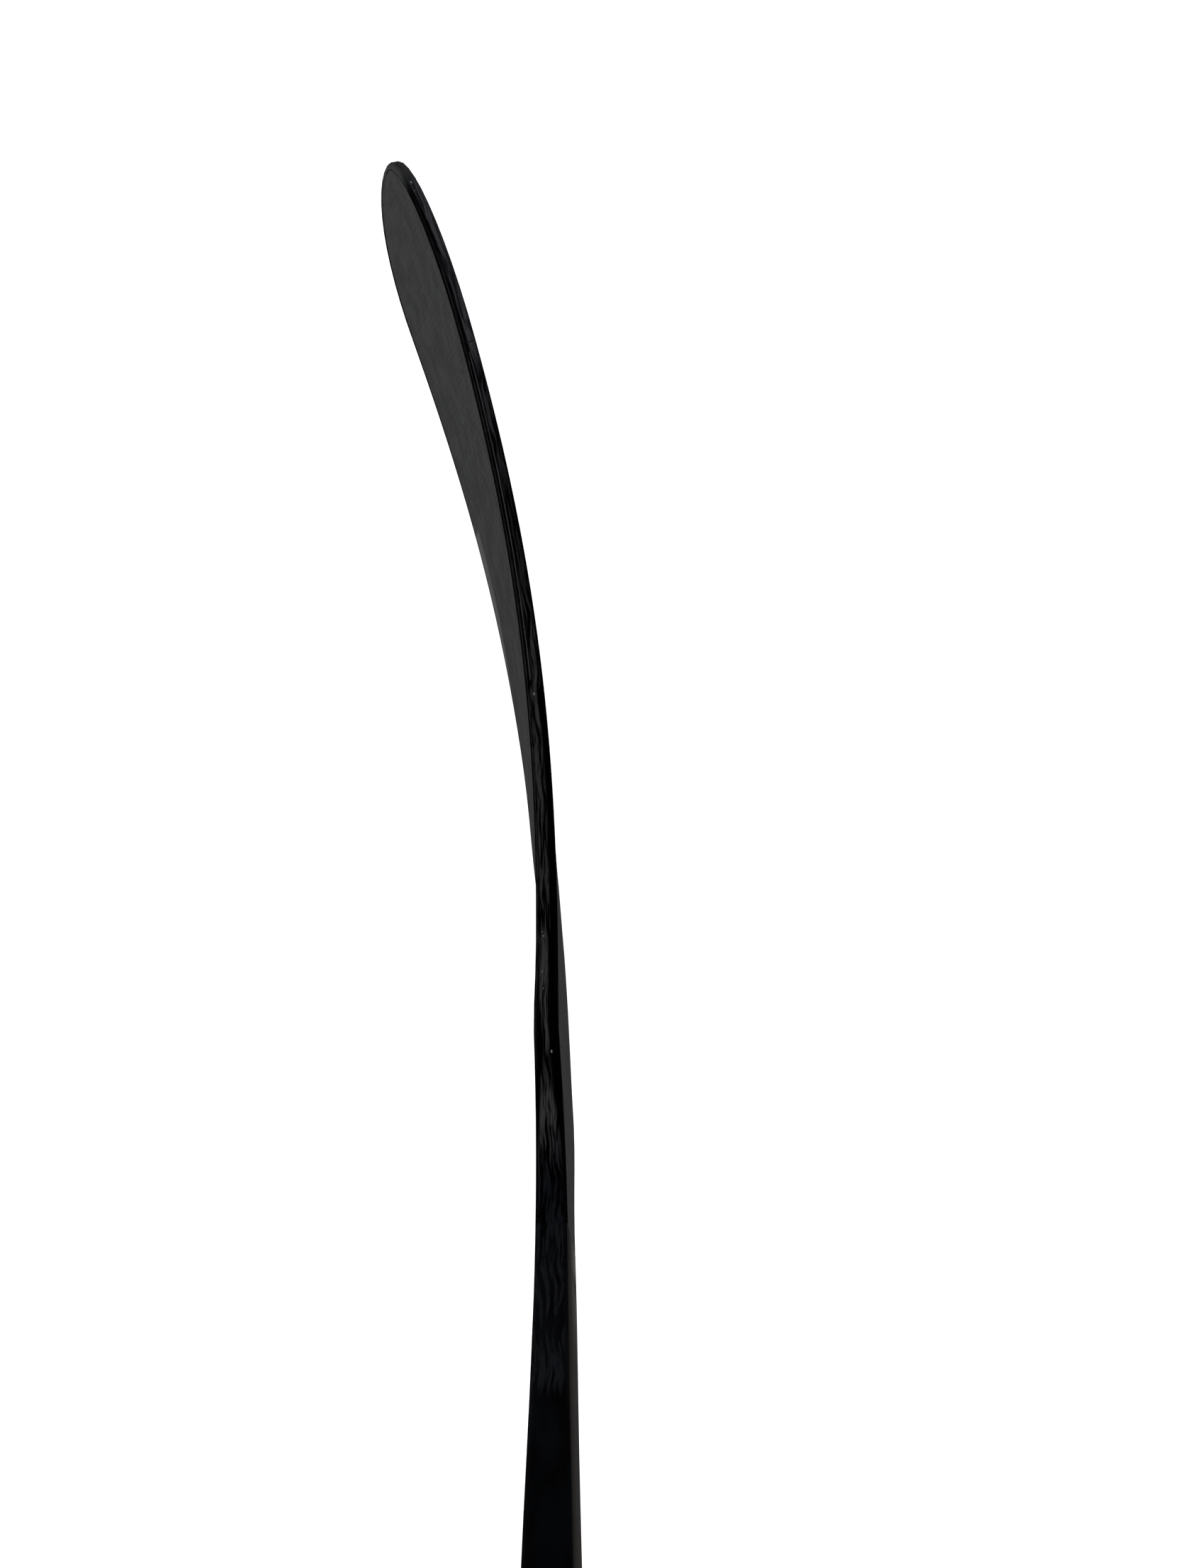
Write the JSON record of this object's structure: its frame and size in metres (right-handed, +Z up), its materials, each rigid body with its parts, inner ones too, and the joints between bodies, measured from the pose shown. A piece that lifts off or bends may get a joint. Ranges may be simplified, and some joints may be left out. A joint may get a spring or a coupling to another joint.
{
  "type": "ice hockey stick",
  "caption": "Right-handed composite ice hockey stick: long tapered hollow shaft, hosel and a thin curved, opened blade with glossy edge bands.",
  "frame": {"origin": "on the shaft's centreline where the top hand holds it, 70 mm below the butt end", "axes": "+X along the ice from heel to toe, +Y towards the forehand side, +Z up; the stick is in playing position with its sole on the ice below"},
  "size_m": [1.344, 0.0515, 1.107],
  "materials": {
    "carbon_face": "matt lacquered carbon laminate",
    "carbon_gloss": "glossy resin-rich carbon",
    "shaft_lacquer": "black lacquer over carbon laminate",
    "carbon_bare": "bare carbon laminate",
    "foam": "closed-cell foam",
    "epoxy": "cured adhesive",
    "plug_plastic": "moulded thermoplastic"
  },
  "bodies": {
    "root": {"forehand_skin": "carbon_face", "backhand_skin": "carbon_face", "upper_core": "foam", "lower_core": "foam", "centre_rib": "carbon_bare", "toe_core": "foam", "heel_core": "foam", "top_edge_band": "carbon_gloss", "sole_edge_band": "carbon_gloss", "toe_edge_band": "carbon_gloss", "shaft_tube": "shaft_lacquer", "joint_wrap": "carbon_gloss", "tenon": "carbon_bare", "adhesive_layer": "epoxy", "foam_dam": "foam", "butt_plug": "plug_plastic"}
  },
  "joints": []
}
